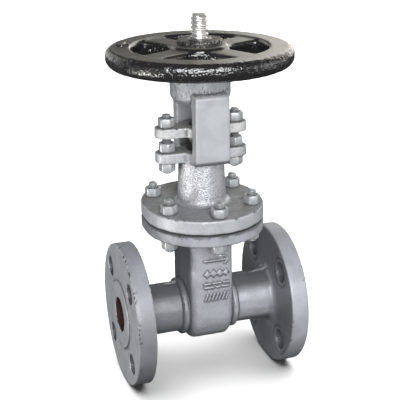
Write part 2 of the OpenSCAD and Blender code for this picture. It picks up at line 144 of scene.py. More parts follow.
# Bonnet neck, lugs and yoke
neck_low_r, neck_high_r = 26.0, 24.2
neck_foot_fillet = 7.5
lug_z = limits("lug_nut_lower_left")[1][2]
lug_top = limits("lug_nut_upper_left")[0][2]
gland_stud_x = limits("gland_stud_right")[1][0] - 5.0
lug_r = 12.5
lug_round = 1.3
arm_half_x = 18.0
arm_inner, arm_outer = 25.5, 40.5
arm_round = 1.5
window_top = 230.0
window_round = 7.5
head_top = bonnet_high[2]
head_r = 31.5
head_chamfer = 4.0
head_taper = 0.72
shoulder_top = 243.0
shoulder_round = 5.0
foot_chamfer = 5.0
arm_foot_z = lug_z + 1.5

# Inside the bonnet
bonnet_cavity_r = 21.0
bonnet_cavity_top = 118.0
shoulder_r = 12.6
backseat_z = limits("backseat_bushing")[0][2]
stuffing_r = 15.0
stuffing_ease = 0.12
washer_z = limits("thrust_washer_lower")[0][2]
washer_r = 21.05
retainer_z = limits("sleeve_retainer")[0][2]
retainer_r = 24.05
sleeve_hole_r = 12.58

# Handwheel
wheel_r = wheel_high[0]
rim_inner = 70.0
hub_bottom, hub_top = wheel_low[2], wheel_high[2]
rim_top = hub_top - 1.8
rim_bottom = rim_top - 19.4
hub_r = 29.0
hub_bore_r = 13.05
spoke_half_w = 13.5
spoke_angle = math.radians(26.4)
spoke_top = rim_top - 1.5
spoke_h = 13.0
groove_r, groove_half_w = 82.7, 5.4
wheel_mark_r = 79.0
wheel_mark_angle = math.radians(157.0)
wheel_mark_h = 2.2
wheel_stroke = 1.7

# Gland flange and wheel nut
gland_bore_r = 12.05
wheel_nut_bore_r = 12.45
slot_half_w = 2.5
slot_depth = 2.5

# Fasteners and stem
NUT_AF = 16.0
NUT_BEVEL = 0.25
NUT_SEGMENTS = 72
STUD_R = 5.0
STUD_PITCH = 1.5
STEM_PITCH = 4.5
STEM_R = 9.0
STEM_SEGMENTS = 64
STUD_SEGMENTS = 20
TRAVEL = 45.0
THREAD_BOTTOM = 187.0


# ---- Distance fields ----
# A field is below 0 inside the piece. both() is what two fields share, either() is the two together.

both, either = np.maximum, np.minimum


def hypot(a, b):
    return np.sqrt(a * a + b * b)


def unit(v):
    """v held between 0 and 1."""
    return np.clip(v, 0, 1)


def slab(v, low, high):
    """Inside between two levels."""
    return np.maximum(low - v, v - high)


def rounded(a, b, r):
    """Where two distances are both inside, with the shared edge rounded by r."""
    a, b = a + r, b + r
    return np.minimum(np.maximum(a, b), 0) + hypot(np.maximum(a, 0), np.maximum(b, 0)) - r


def join(a, b, k):
    """Union with a fillet of about k."""
    h = unit(0.5 + 0.5 * (b - a) / k)
    return b + (a - b) * h - k * h * (1 - h)


def cut(a, b, k):
    """a without b, with the edge eased by about k."""
    return -join(-a, b, k)


def stadium(u, v, offset, r):
    """Outline of two circles on the v axis and the straight sides between them."""
    return hypot(u, np.maximum(np.abs(v) - offset, 0)) - r


def segment(u, v, start, end):
    """Distance to a straight stroke."""
    du, dv = end[0] - start[0], end[1] - start[1]
    t = unit(((u - start[0]) * du + (v - start[1]) * dv) / (du * du + dv * dv))
    return hypot(u - start[0] - t * du, v - start[1] - t * dv)


def stud_circle(x, y):
    """Distance to the nearest of the six bonnet studs' axes."""
    side = hypot(np.abs(x) - side_stud[0], np.abs(y) - side_stud[1])
    end = hypot(x, np.abs(y) - end_stud[1])
    return either(side, end)


def grain(x, y, z, size, seed):
    """Smooth noise from -1 to 1 whose lumps are about size across."""
    total = 0
    turns = np.random.default_rng(seed)
    for _ in range(7):
        direction = turns.normal(size=3)
        direction /= np.linalg.norm(direction)
        wave = 2 * math.pi / size * turns.uniform(0.45, 0.9)
        phase = turns.uniform(0, 2 * math.pi)
        along = x * direction[0] + y * direction[1] + z * direction[2]
        total = total + np.sin(wave * along + phase)
    return total / 4.0


# ---- Field to mesh ----

def surface_net(values):
    """Points and quads of a grid's zero level, in grid steps: one point in each crossed cell."""
    inside = values < 0
    cell_shape = np.array(values.shape) - 1
    cells, places, quads = [], [], []
    for axis in range(3):
        lower = tuple(slice(0, -1) if i == axis else slice(None) for i in range(3))
        upper = tuple(slice(1, None) if i == axis else slice(None) for i in range(3))
        start = np.argwhere(inside[lower] != inside[upper])
        first = values[lower][tuple(start.T)]
        second = values[upper][tuple(start.T)]
        place = start.astype(np.float64)
        place[:, axis] += first / (first - second)
        around = []
        for du, dv in ((0, 0), (-1, 0), (-1, -1), (0, -1)):
            cell = start.copy()
            cell[:, (axis + 1) % 3] += du
            cell[:, (axis + 2) % 3] += dv
            around.append(np.ravel_multi_index(cell.T, cell_shape))
        around = np.stack(around, 1)
        around[first > 0] = around[first > 0][:, ::-1]
        quads.append(around)
        cells.append(around.ravel())
        places.append(np.repeat(place, 4, 0))
    quads = np.concatenate(quads)
    places = np.concatenate(places)
    _, index = np.unique(np.concatenate(cells), return_inverse=True)
    count = np.bincount(index)
    points = np.stack([np.bincount(index, places[:, i]) / count for i in range(3)], 1)
    return points, index.reshape(quads.shape)


def slope(field, points, h=0.1):
    """Gradient of a field at points."""
    out = np.empty_like(points)
    for axis in range(3):
        shift = np.zeros(3)
        shift[axis] = h
        out[:, axis] = (field(*(points + shift).T) - field(*(points - shift).T)) / (2 * h)
    return out


def bend(field, points, h=1.5):
    """How the surface curves: above 0 on outer edges, below 0 in hollows."""
    total = -6 * field(*points.T)
    for axis in range(3):
        for sign in (-h, h):
            shift = np.zeros(3)
            shift[axis] = sign
            total += field(*(points + shift).T)
    return total / (h * h)


def field_mesh(field, low, high, step, wave):
    """Closed mesh of a field; wave(x, y, z) is how far the cast surface stands off the true one."""
    low = np.asarray(low, float) - 2.5 * step
    counts = np.ceil((np.asarray(high, float) + 2.5 * step - low) / step).astype(int) + 1
    axes = [low[i] + step * np.arange(counts[i]) for i in range(3)]
    values = np.empty(counts, np.float32)
    slab_width = 32
    for start in range(0, counts[0], slab_width):
        part = slice(start, start + slab_width)
        grid = np.meshgrid(axes[0][part], axes[1], axes[2], indexing="ij", sparse=True)
        values[part] = field(*grid)
    points, quads = surface_net(values)
    points = low + points * step
    for _ in range(2):
        distance = field(*points.T)
        direction = slope(field, points)
        length = np.maximum((direction ** 2).sum(1), 0.25)
        move = direction * (distance / length)[:, None]
        points -= np.clip(move, -0.6 * step, 0.6 * step)
    direction = slope(field, points)
    direction /= np.maximum(np.linalg.norm(direction, axis=1), 0.5)[:, None]
    points += direction * wave(*points.T)[:, None]
    return points, quads


def add(name, data):
    """A new object in the scene."""
    made = bpy.data.objects.new(name, data)
    bpy.context.scene.collection.objects.link(made)
    return made


def write_mesh(name, points, faces):
    """A mesh object from points in millimetres from the pipe axis."""
    mesh = bpy.data.meshes.new(name)
    points = (np.asarray(points) + (0, 0, AXIS_Z)) * MM
    if not isinstance(faces, list):
        faces = np.asarray(faces).tolist()
    mesh.from_pydata(points.tolist(), [], faces)
    mesh.validate()
    mesh.update()
    return add(name, mesh)


def bake_modifiers(piece):
    """Applies the modifiers of a piece."""
    graph = bpy.context.evaluated_depsgraph_get()
    graph.update()
    mesh = bpy.data.meshes.new_from_object(piece.evaluated_get(graph))
    piece.modifiers.clear()
    old = piece.data
    piece.data = mesh
    bpy.data.meshes.remove(old)


def thin(piece, ratio):
    """Fewer triangles where the surface is flat."""
    modifier = piece.modifiers.new("thin", "DECIMATE")
    modifier.ratio = ratio
    bake_modifiers(piece)


def mesh_points(piece):
    """Vertex places in millimetres from the pipe axis."""
    flat = np.empty(len(piece.data.vertices) * 3, np.float64)
    piece.data.vertices.foreach_get("co", flat)
    return flat.reshape(-1, 3) / MM - (0, 0, AXIS_Z)


def surface_facts(piece, field, rough, rust, painted_shade):
    """Stores what the paint needs to know: casting roughness, outer edges, hollows with painted
    shade, and rust.
    """
    points = mesh_points(piece)
    curve = bend(field, points)
    facts = np.zeros((len(points), 4), np.float32)
    facts[:, 0] = rough(*points.T)
    facts[:, 1] = unit((curve - 0.15) / 0.4)
    # Hollows, joined below by the piece's own map, mark where the paint puts painted shade.
    facts[:, 2] = unit((-curve - 0.05) / 0.25)
    facts[:, 3] = 0 if rust is None else rust(*points.T)
    if painted_shade is not None:
        facts[:, 2] = np.maximum(facts[:, 2], painted_shade(*points.T))
    attribute = piece.data.attributes.new("facts", "FLOAT_COLOR", "POINT")
    attribute.data.foreach_set("color", facts.ravel())


def cast_piece(name, field, low, high, step, keep, wave, rough, rust=None, painted_shade=None):
    """A casting: its field as a smooth mesh with the facts that its paint needs.

    step is the grid's step, and keep is the share of the triangles that stay.
    """
    piece = write_mesh(name, *field_mesh(field, low, high, step, wave))
    thin(piece, keep)
    surface_facts(piece, field, rough, rust, painted_shade)
    piece.data.shade_smooth()
    return piece


# ---- Castings ----

MARK_DEPTH = 1.1
MARK_STROKE = 0.85


def mark_strokes(x, z):
    """Plain cast marks on the front of the chamber: a flow arrow, diamonds, dashes and hatching."""
    rows = (64.0, 49.0, 35.5, 22.0)
    left, right = -10.0, 17.0
    marks = segment(x, z, (left, rows[0]), (right, rows[0]))
    for side in (-1, 1):
        barb = segment(x, z, (right, rows[0]), (right - 4.5, rows[0] + side * 4.0))
        marks = either(marks, barb)
    for i in range(4):
        diamond = (np.abs(x - left - 3.0 - 7.0 * i) + np.abs(z - rows[1]) - 2.6) / math.sqrt(2)
        marks = either(marks, diamond)
    upper, lower = ((0, 6), (9, 18), (21, 27)), ((0, 10), (13, 17), (20, 27))
    for height, dashes in ((rows[2] + 2.2, upper), (rows[2] - 2.2, lower)):
        for start, end in dashes:
            marks = either(marks, segment(x, z, (left + start, height), (left + end, height)))
    for i in range(7):
        start = left + 0.5 + 3.9 * i
        slanted = segment(x, z, (start, rows[3] - 3.4), (start + 2.6, rows[3] + 3.4))
        marks = either(marks, slanted)
    return marks


def seam_height(x):
    """Uneven height of the flash along the necks' mould seam, which swells at one end of each."""
    swell = unit((x - 52) / 18) + unit((x + 34) / 14 + 1) * (x < -30)
    return 0.8 + 0.3 * np.sin(0.31 * x + 1.0) + 0.2 * np.sin(0.83 * x) + 2.6 * np.minimum(swell, 1)


def body_field(x, y, z):
    """Body: pipe flanges, necks, gate chamber and joint flange, less its bores and holes."""
    along, reach = np.abs(x), hypot(y, z)
    across = np.where(z > 0, np.abs(y), reach)
    # Gate chamber with its mould ridge
    tapered = along + across * draft - chamber_half_x - 0.5
    solid = rounded(tapered, across - chamber_half_y, chamber_corner)
    solid = both(solid, z - body_flange_z - 2)
    ridge = rounded(np.abs(y) - ridge_half_w, along - chamber_half_x - ridge_out, 0.4)
    solid = join(solid, both(ridge, slab(z, ridge_bottom, body_flange_z + 2)), 0.8)
    # Necks with their collars and mould seam, and the pipe flanges
    collar = rounded(reach - collar_r, slab(along, collar_near, collar_far), 2.5)
    solid = join(solid, both(reach - neck_r, along - face_x + 4), neck_fillet)
    solid = join(solid, collar, 1.6)
    seam = rounded(np.abs(y) - seam_half_w, reach - neck_r - seam_height(x), 0.5)
    solid = join(solid, both(seam, slab(along, chamber_half_x, flange_back + 2)), 1.2)
    flange = rounded(reach - flange_r, slab(along, flange_back, face_x), 1.1)
    solid = join(solid, flange, flange_fillet)
    solid = join(solid, rounded(reach - raised_r, slab(along, face_x - 4, face_end), 0.4), 0.5)
    # Joint flange and cast marks
    joint = stadium(x, y, joint_arc_offset, joint_r)
    joint = rounded(joint, slab(z, body_flange_z, joint_z), joint_round)
    solid = join(solid, joint, joint_fillet)
    raised = slab(y, -chamber_half_y - MARK_DEPTH, -30)
    solid = join(solid, rounded(mark_strokes(x, z) - MARK_STROKE, raised, 0.4), 0.7)
    # Bolt holes with their spot faces, and stud holes
    holes = hypot(np.abs(y) - hole_offset, np.abs(z) - hole_offset)
    solid = cut(solid, both(holes - hole_r, flange_back - 2 - along), 0.8)
    faced = slab(along, flange_back - 4, flange_back + spot_face_depth)
    solid = cut(solid, rounded(holes - spot_face_r, faced, 0.3), 1.0)
    solid = cut(solid, both(stud_circle(x, y) - stud_hole_r, body_flange_z - 4 - z), 0.4)
    # Inside: gate cavity with its guides, seat pockets and bore
    cavity = rounded(along - cavity_half_x, across - cavity_half_y, cavity_corner)
    cavity = both(cavity, -across - 1)
    guides = both(along - guide_half_w, guide_inner_y - np.abs(y))
    guides = both(slab(z, guide_bottom, guide_top), guides)
    solid = cut(solid, both(cavity, -guides), 0.4)
    pocket = both(reach - seat_pocket_r, along - seat_pocket_x)
    return cut(solid, either(pocket, reach - bore_r), 0.7)


# In the maps below each patch starts at a level and has a soft edge, both in millimetres.

def body_wave(x, y, z):
    """Unevenness of the cast surface, gentler on the machined flanges."""
    flat = unit((np.abs(x) - flange_back + 2) / 3)
    return (0.16 * grain(x, y, z, 9, 1) + 0.07 * grain(x, y, z, 3.5, 2)) * (1 - 0.9 * flat)


def body_rough(x, y, z):
    """Casting roughness of the body, from 0 smooth to 1 coarse."""
    flange = unit((np.abs(x) - flange_back + 3) / 3)
    joint = unit((z - body_flange_z + 1) / 2)
    chamber = unit((27 - np.abs(x)) / 3)
    return 0.30 + 0.15 * joint + 0.2 * chamber * (1 - joint) - 0.12 * flange


def body_shade_and_joint_line(x, y, z):
    """Painted shade: darker in the holes, on the backs of the flanges, the necks, the chamber's
    sides, the lower inlet rim and the joint flange's left end; a dark band along the joint line.
    """
    along, reach = np.abs(x), hypot(y, z)
    holes = hypot(np.abs(y) - hole_offset, np.abs(z) - hole_offset)
    hole = unit((hole_r + 0.6 - holes) / 0.5) * unit((face_x - 0.3 - along) / 0.6)
    hole = hole * unit((along - flange_back) / 0.5)
    back = unit((along - 60) / 8) * unit((flange_back + 1.2 - along) / 0.8)
    back = back * unit((reach - neck_r - 4) / 8)
    neck = unit((along - chamber_half_x - 1) / 4) * unit((flange_back - along) / 4)
    neck = neck * (reach < flange_r) * (z < body_flange_z - 20)
    poles = unit((np.abs(z) / np.maximum(reach, 1) - 0.45) / 0.35)
    neck = neck * np.maximum(poles, np.where(x < 0, 0.75, 0.0))
    side = unit((along - 20) / 2) * (along < 29) * unit((body_flange_z - z) / 3)
    side = side * unit((chamber_half_y - 5 - np.abs(y)) / 4)
    rim = unit((-x - flange_back) / 1.5) * unit((reach - flange_r + 1.2) / 0.8)
    rim = rim * unit((60 - z) / 30)
    joint = unit((-x - 30) / 25) * unit((z - body_flange_z) / 1)
    line = unit((z - joint_z + 2.3 + 0.7 * grain(x, y, z, 9, 12)) / 0.7)
    return np.max(
        [0.95 * hole, 0.5 * back, neck, 0.45 * side, 0.65 * rim, 0.6 * joint, line], axis=0,
    )


def body_rust(x, y, z):
    """Rust in the pipe's bore."""
    reach = hypot(y, z)
    return ((reach < bore_r + 0.5) & (np.abs(x) < face_end - 0.4)).astype(float)


def bonnet_field(x, y, z):
    """Bonnet: joint flange, neck, lugs, yoke arms and head, less the bores along its axis."""
    around = hypot(x, y)
    flange = stadium(x, y, joint_arc_offset, joint_r)
    flange = rounded(flange, slab(z, bonnet_z, bonnet_flange_top), joint_round)
    rise = unit((z - bonnet_flange_top) / (lug_z - bonnet_flange_top))
    neck = around - neck_low_r + (neck_low_r - neck_high_r) * rise
    neck = both(neck, slab(z, bonnet_z + 2, lug_top - 1))
    solid = join(flange, neck, neck_foot_fillet)
    lugs = rounded(stadium(y, x, gland_stud_x, lug_r), slab(z, lug_z, lug_top), lug_round)
    solid = join(solid, lugs, 2.5)
    # Yoke arms, cut from one slab by the window between them
    outline = rounded(np.abs(y) - arm_outer, z - shoulder_top, shoulder_round)
    foot = (np.abs(y) - arm_outer + foot_chamfer + arm_foot_z - z) / math.sqrt(2)
    outline = rounded(outline, foot, 1.0)
    outline = rounded(outline, arm_foot_z - z, 0.8)
    arms = rounded(outline, np.abs(x) - arm_half_x, arm_round)
    window = rounded(np.abs(y) - arm_inner, slab(z, lug_top, window_top), window_round)
    arms = cut(arms, window, arm_round)
    solid = join(solid, arms, 1.8)
    # Yoke head
    head = rounded(around - head_r, slab(z, window_top, head_top), 1.2)
    taper = (around - head_r + head_chamfer - (z - window_top) * head_taper) * 0.81
    head = rounded(head, taper, 1.2)
    solid = join(solid, head, 0.9)
    solid = cut(solid, stud_circle(x, y) - stud_hole_r + 0 * z, 0.4)
    solid = cut(solid, both(hypot(np.abs(x) - gland_stud_x, y) - stud_hole_r, 150 - z), 0.4)
    # Inside: cavity, stuffing box, sleeve hole, washer seat and retainer thread
    cone = around - np.clip(bonnet_cavity_top + bonnet_cavity_r - z, shoulder_r, bonnet_cavity_r)
    inner = both(cone, z - lug_top + 2)
    box = both(around - stuffing_r - stuffing_ease, slab(z, backseat_z, lug_top + 3))
    inner = either(inner, box)
    inner = either(inner, both(around - sleeve_hole_r, window_top - 3 - z))
    inner = either(inner, both(around - washer_r, washer_z - z))
    inner = either(inner, both(around - retainer_r, retainer_z - z))
    return cut(solid, inner, 0.5)


def bonnet_rough(x, y, z):
    """Coarse neck, ledge and head, smooth arms."""
    neck = unit((z - bonnet_flange_top + 1) / 2) * unit((lug_z - z) / 2)
    arm = unit((z - lug_top) / 2) * unit((shoulder_top + 3 - z) / 3)
    arm_face = unit((np.abs(y) - arm_outer + 3) / 2) * unit((z - lug_z + 3) / 3)
    ledge = unit((z - shoulder_top + 1.5) / 1.5) * unit((shoulder_top + 5 - z) / 3)
    head = unit((z - window_top) / 3) * unit((4 - x) / 8) * (hypot(x, y) < head_r + 1.5)
    rough = 0.4 + 0.6 * neck
    rough = rough * (1 - 0.9 * np.maximum(arm_face, 0.6 * arm))
    return np.maximum(rough, np.maximum(0.9 * ledge, 0.75 * head))


def bonnet_shade_and_joint_line(x, y, z):
    """Painted shade at the feet of the arms, and a dark band along the joint line."""
    foot = unit((arm_foot_z + foot_chamfer - z) / 1.5) * (z > lug_z - 4)
    foot = foot * (np.abs(y) > arm_inner + 5) * (np.abs(x) < arm_half_x + 1)
    line = unit((bonnet_z + 1.6 + 0.7 * grain(x, y, z, 9, 12) - z) / 0.7)
    return np.maximum(0.7 * foot, line)


def bonnet_wave(x, y, z):
    """Unevenness of the cast surface, and none in the bores."""
    rough = bonnet_rough(x, y, z)
    ledge = unit((z - shoulder_top + 1.5) / 1.5) * unit((shoulder_top + 5 - z) / 3)
    wave = 0.10 * grain(x, y, z, 9, 3) + (0.12 * rough + 0.30 * ledge) * grain(x, y, z, 2.6, 4)
    return wave * unit((hypot(x, y) - bonnet_cavity_r - 1) / 2)


def wheel_field(x, y, z):
    """Handwheel: hollow rim, four spokes, hub and a raised arrow on the rim."""
    around = hypot(x, y)
    mid_r, mid_z = (rim_inner + wheel_r) / 2, (rim_top + rim_bottom) / 2
    edge = np.where(around < mid_r, 3.0, np.where(z > mid_z, 7.5, 9.5))
    rim_half_w, rim_half_h = (wheel_r - rim_inner) / 2, (rim_top - rim_bottom) / 2
    rim = rounded(np.abs(around - mid_r) - rim_half_w, np.abs(z - mid_z) - rim_half_h, edge)
    groove = np.abs(around - groove_r) - groove_half_w
    groove = rounded(groove, slab(z, rim_bottom - 5, rim_bottom + 12), 2.5)
    rim = cut(rim, groove, 1.5)
    along = x * math.cos(spoke_angle) + y * math.sin(spoke_angle)
    across = y * math.cos(spoke_angle) - x * math.sin(spoke_angle)
    plan = join(np.abs(along), np.abs(across), 6.0) - spoke_half_w
    plan = join(plan, around - hub_r, 12.0)
    plan = join(plan, rim_inner + 1.5 - around, 13.0)
    spokes = rounded(plan, slab(z, spoke_top - spoke_h, spoke_top), 3.6)
    spokes = both(spokes, around - rim_inner - 5)
    solid = join(rim, spokes, 2.5)
    hub = rounded(around - hub_r, slab(z, hub_bottom, hub_top), 3.0)
    solid = join(solid, hub, 4.0)
    out, sweep = around - wheel_mark_r, (np.arctan2(y, x) - wheel_mark_angle) * wheel_mark_r
    arrow = stadium(out, sweep, 7.5, wheel_stroke)
    for side in (-1, 1):
        barb = segment(out, sweep, (0, 9.0), (side * 5.5, 3.0))
        arrow = either(arrow, barb - wheel_stroke)
    raised = rounded(arrow, slab(z, rim_top - 3, rim_top + wheel_mark_h), 0.4)
    solid = join(solid, raised, 0.6)
    return cut(solid, around - hub_bore_r + 0 * z, 0.4)


def wheel_wave(x, y, z):
    """Unevenness of the cast surface, strongest on the rim's outer side."""
    side = unit((hypot(x, y) - 88) / 5)
    return (0.10 + 0.14 * side) * grain(x, y, z, 6.5, 5) + 0.09 * side * grain(x, y, z, 3.2, 6)


def wheel_rough(x, y, z):
    """Coarse outer side and underside, smooth top."""
    side = unit((hypot(x, y) - 88) / 5)
    below = unit((spoke_top - 0.8 - z) / 1.5)
    return 0.25 + 0.75 * np.maximum(side, below)


def gland_field(x, y, z):
    """Gland flange: two ears round a bored boss."""
    around = hypot(x, y)
    plan = join(stadium(y, x, gland_stud_x, lug_r), around - gland_high[1], 1.6)
    solid = rounded(plan, slab(z, gland_low[2], gland_high[2]), 1.1)
    holes = either(around - gland_bore_r, hypot(np.abs(x) - gland_stud_x, y) - stud_hole_r)
    return cut(solid, holes + 0 * z, 0.5)


def gland_wave(x, y, z):
    """Unevenness of the cast surface."""
    return 0.12 * grain(x, y, z, 8, 7) + 0.10 * grain(x, y, z, 3.0, 8)


def evenly(rough):
    """The same casting roughness all over a piece."""
    return lambda x, y, z: rough + 0 * x


# ---- Turned and threaded pieces ----

def ring(radius, z, angles):
    """One ring of points; radius and z are numbers, or arrays with one value for each angle.

    radius may also be a function of the angles.
    """
    if callable(radius):
        radius = radius(angles)
    one = np.ones(len(angles))
    return np.stack([radius * np.cos(angles), radius * np.sin(angles), z * one], 1)


def full_turn(segments):
    """Angles of evenly spread points round a ring."""
    return np.arange(segments) * 2 * math.pi / segments


def strip(a, b, count):
    """Quads between the ring that starts at point a and the ring that starts at point b."""
    return [[a + j, a + (j + 1) % count, b + (j + 1) % count, b + j] for j in range(count)]


def tube(name, rings):
    """A closed piece with a hole: each ring joins the next, and the last joins the first."""
    count = len(rings[0])
    faces = []
    for i in range(len(rings)):
        faces += strip(i * count, (i + 1) % len(rings) * count, count)
    return write_mesh(name, np.concatenate(rings), faces)


def threaded_bar(name, below, above, bottom, top, outer_r, pitch, shape, segments, hand):
    """A bar with a helical thread from bottom to top.

    below and above are (radius, height) rings of its plain ends, and shape is one turn of the
    thread as (height in pitches, depth) pairs. hand is 1 for right-hand and -1 for left-hand.
    """
    angles = full_turn(segments)
    turns = math.ceil((top - bottom) / pitch) + 2
    heights = np.array([bottom + (turn - 1 + h) * pitch for turn in range(turns) for h, _ in shape])
    depths = np.array([depth for _ in range(turns) for _, depth in shape])
    root_r = outer_r - depths.max()
    z = heights[:, None] + hand * pitch * angles / (2 * math.pi)
    r = outer_r - depths[:, None] * unit((z - bottom) / pitch)
    r = np.minimum(r, root_r + np.maximum(top - z, 0))
    z = np.clip(z, bottom, top)
    rings = [ring(radius, height, angles) for radius, height in below]
    first = len(rings) * segments
    rings += [ring(r[i], z[i], angles) for i in range(len(heights))]
    last = first + (len(heights) - 1) * segments
    rings += [ring(radius, height, angles) for radius, height in above]
    faces = []
    for i in range(len(below)):
        faces += strip(i * segments, (i + 1) * segments, segments)
    for i in range(len(heights) - 1):
        for j in range(segments):
            k, climb = (j + 1, 0) if j + 1 < segments else (0, hand * len(shape))
            near, far = (min(max(i + climb + up, 0), len(heights) - 1) for up in (0, 1))
            faces.append([
                first + i * segments + j, first + near * segments + k,
                first + far * segments + k, first + (i + 1) * segments + j,
            ])
    for i in range(len(above)):
        faces += strip(last + i * segments, last + (i + 1) * segments, segments)
    faces.append(list(range(segments))[::-1])
    faces.append([last + len(above) * segments + j for j in range(segments)])
    piece = write_mesh(name, np.concatenate(rings), faces)
    work = bmesh.new()
    work.from_mesh(piece.data)
    bmesh.ops.remove_doubles(work, verts=work.verts, dist=0.004 * MM)
    bmesh.ops.dissolve_degenerate(work, edges=work.edges, dist=0.004 * MM)
    bmesh.ops.recalc_face_normals(work, faces=work.faces)
    work.to_mesh(piece.data)
    work.free()
    piece.data.shade_smooth()
    piece.data.set_sharp_from_angle(angle=math.radians(60))
    return piece


def bevelled(piece, width):
    """Breaks the sharp edges of a piece."""
    modifier = piece.modifiers.new("edges", "BEVEL")
    modifier.width = width * MM
    modifier.segments = 2
    modifier.limit_method = "ANGLE"
    modifier.angle_limit = math.radians(28)
    bake_modifiers(piece)
    piece.data.shade_smooth()
    piece.data.set_sharp_from_angle(angle=math.radians(40))
    return piece


def moved(piece, x, y, z):
    """Shifts a mesh that was made at the pipe axis."""
    piece.data.transform(Matrix.Translation((x * MM, y * MM, z * MM)))
    return piece


def hexagon_nut(name, node, turn):
    """Hexagon nut in the place of a CAD nut, chamfered at 30 degrees on both faces."""
    low, high = limits(node)
    height = high[2] - low[2]
    angles = full_turn(NUT_SEGMENTS)
    corner = math.pi / 6
    flat_r = NUT_AF / 2
    off_middle = (angles - math.radians(turn)) % (2 * corner) - corner
    corner_r = flat_r / math.cos(corner) - 0.35
    side = np.minimum(flat_r / np.cos(off_middle), corner_r)
    face_r = NUT_AF * 0.47
    drop = (side - face_r) * math.tan(corner)
    bore = STUD_R + 0.1
    ease = 0.6
    piece = tube(name, [
        ring(bore, ease, angles), ring(bore + ease, 0, angles), ring(face_r, 0, angles),
        ring(side, drop, angles), ring(side, height - drop, angles), ring(face_r, height, angles),
        ring(bore + ease, height, angles), ring(bore, height - ease, angles),
    ])
    piece.data.shade_smooth()
    piece.data.set_sharp_from_angle(angle=math.radians(24))
    middle = (low + high) / 2
    return moved(piece, middle[0], middle[1], low[2])


# One turn of a thread, as (height in pitches, depth) pairs
V_THREAD = ((0.0, 0.8), (0.3, 0.4), (0.5, 0.0), (0.7, 0.4))


def stud(name, node):
    """Fully threaded stud in the place of a CAD stud, with a rounded point at both ends."""
    low, high = limits(node)
    length = high[2] - low[2]
    point = 1.2
    piece = threaded_bar(
        name, [(STUD_R - 1.6, 0), (STUD_R - 1.0, 0.35), (STUD_R - 0.1, point)],
        [(STUD_R - 1.3, length - 0.35), (STUD_R - 2.0, length)],
        point, length - 0.6, STUD_R, STUD_PITCH, V_THREAD, STUD_SEGMENTS, 1,
    )
    middle = (low + high) / 2
    return moved(piece, middle[0], middle[1], low[2])


STEM_THREAD = (
    (0.00, 2.2), (0.24, 2.2), (0.29, 1.9), (0.40, 0.35),
    (0.46, 0.0), (0.74, 0.0), (0.80, 0.35), (0.93, 1.9),
)


def stem_piece():
    """Stem: T-head, backseat collar, plain shank and left-hand trapezoidal thread."""
    half_x, half_y = 9.0, 10.5
    head_bottom, head_top = stem_low[2], stem_low[2] + 8.5
    neck_r, shank_bottom = 6.5, head_top + 7.5
    collar_top = backseat_z - TRAVEL - 0.5

    def block(grow):
        power = 10

        def radius(angles):
            c = np.abs(np.cos(angles)) / (half_x + grow)
            s = np.abs(np.sin(angles)) / (half_y + grow)
            return (c ** power + s ** power) ** (-1 / power)
        return radius

    below = [
        (block(-1.0), head_bottom), (block(-0.3), head_bottom + 0.3), (block(0), head_bottom + 1.0),
        (block(0), head_top - 0.8), (block(-0.8), head_top), (neck_r + 0.6, head_top),
        (neck_r, head_top + 0.6), (neck_r, shank_bottom), (STEM_R - 0.6, shank_bottom),
        (STEM_R, shank_bottom + 0.6), (STEM_R, collar_top - 6), (12.0, collar_top - 3),
        (12.0, collar_top - 0.5), (11.5, collar_top), (STEM_R, collar_top), (STEM_R, THREAD_BOTTOM),
    ]
    return threaded_bar(
        "stem_with_thread", below, [(4.0, stem_high[2])], THREAD_BOTTOM, stem_high[2], STEM_R,
        STEM_PITCH, STEM_THREAD, STEM_SEGMENTS, -1,
    )


def packing_ring(name, node):
    """Braided ring of square section with soft edges."""
    low, high = limits(node)
    inner_r, soft, section = STEM_R + 0.1, 0.8, []
    half_width, half_height = (high[0] - inner_r) / 2, (high[2] - low[2]) / 2
    for quarter, (out, up) in enumerate(((1, 1), (-1, 1), (-1, -1), (1, -1))):
        for eighth in range(3):
            angle = (2 * quarter + eighth) * math.pi / 4
            radius = inner_r + half_width + out * (half_width - soft) + soft * math.cos(angle)
            height = low[2] + half_height + up * (half_height - soft) + soft * math.sin(angle)
            section.append(ring(radius, height, full_turn(STEM_SEGMENTS)))
    return tube(name, section)


def wheel_nut_field(x, y, z):
    """Round nut with four slots for a hook spanner."""
    low, high = limits("wheel_nut")
    reach = hypot(x, y)
    solid = rounded(reach - high[0], slab(z, low[2], high[2]), 1.3)
    for turn in range(4):
        angle = math.radians(45 + 90 * turn)
        out = x * math.cos(angle) + y * math.sin(angle)
        side = y * math.cos(angle) - x * math.sin(angle)
        slot = both(np.abs(side) - slot_half_w, high[0] - slot_depth - out)
        solid = cut(solid, slot + 0 * z, 0.5)
    return cut(solid, reach - wheel_nut_bore_r + 0 * z, 0.6)


def wheel_nut_wave(x, y, z):
    """Rough side, smooth faces."""
    side = unit((hypot(x, y) - 20.5) / 1.5)
    return 0.30 * side * grain(x, y, z, 3.4, 11)


# ---- Materials ----

